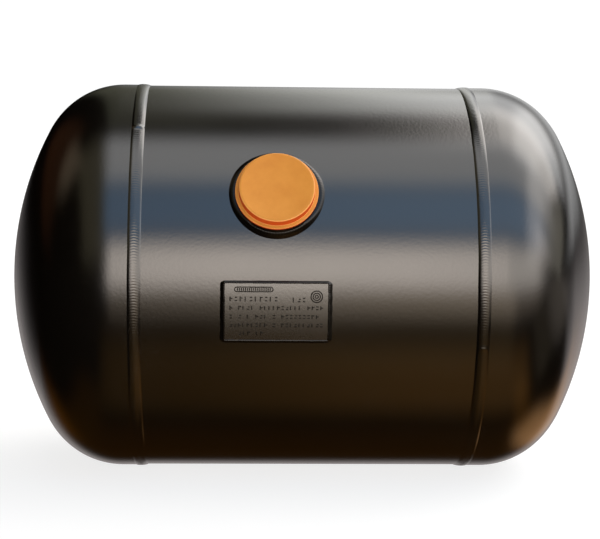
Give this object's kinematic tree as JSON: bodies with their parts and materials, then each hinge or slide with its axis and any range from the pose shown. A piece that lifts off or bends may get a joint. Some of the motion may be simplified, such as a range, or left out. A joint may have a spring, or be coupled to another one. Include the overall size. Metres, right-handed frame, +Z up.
{
  "type": "horizontal pressure tank",
  "caption": "Horizontal steel pressure tank: rolled shell, dished heads, an angled valve boss closed by a pull-out plug, and a welded data plate.",
  "frame": {"origin": "under mid length, on the level line that the lowest line of the tank touches", "axes": "+X along the tank to the right, -Y to the front where the boss and plate are, +Z up"},
  "size_m": [0.545, 0.3641, 0.3627],
  "materials": {
    "black_paint": "semi-gloss black paint over welded steel",
    "orange_plastic": "moulded orange plastic"
  },
  "bodies": {
    "tank": {"shell": "black_paint", "head_left": "black_paint", "head_right": "black_paint", "girth_weld_left": "black_paint", "girth_weld_right": "black_paint", "seam_weld": "black_paint", "valve_boss": "black_paint", "boss_weld": "black_paint", "data_plate": "black_paint", "data_plate_weld": "black_paint"},
    "plug": {"valve_plug": "orange_plastic"}
  },
  "joints": [
    {"name": "plug_pull", "type": "slide", "parent": "tank", "child": "plug", "axis": [0, -0.866, 0.5], "range_m": [0, 0.12]}
  ]
}
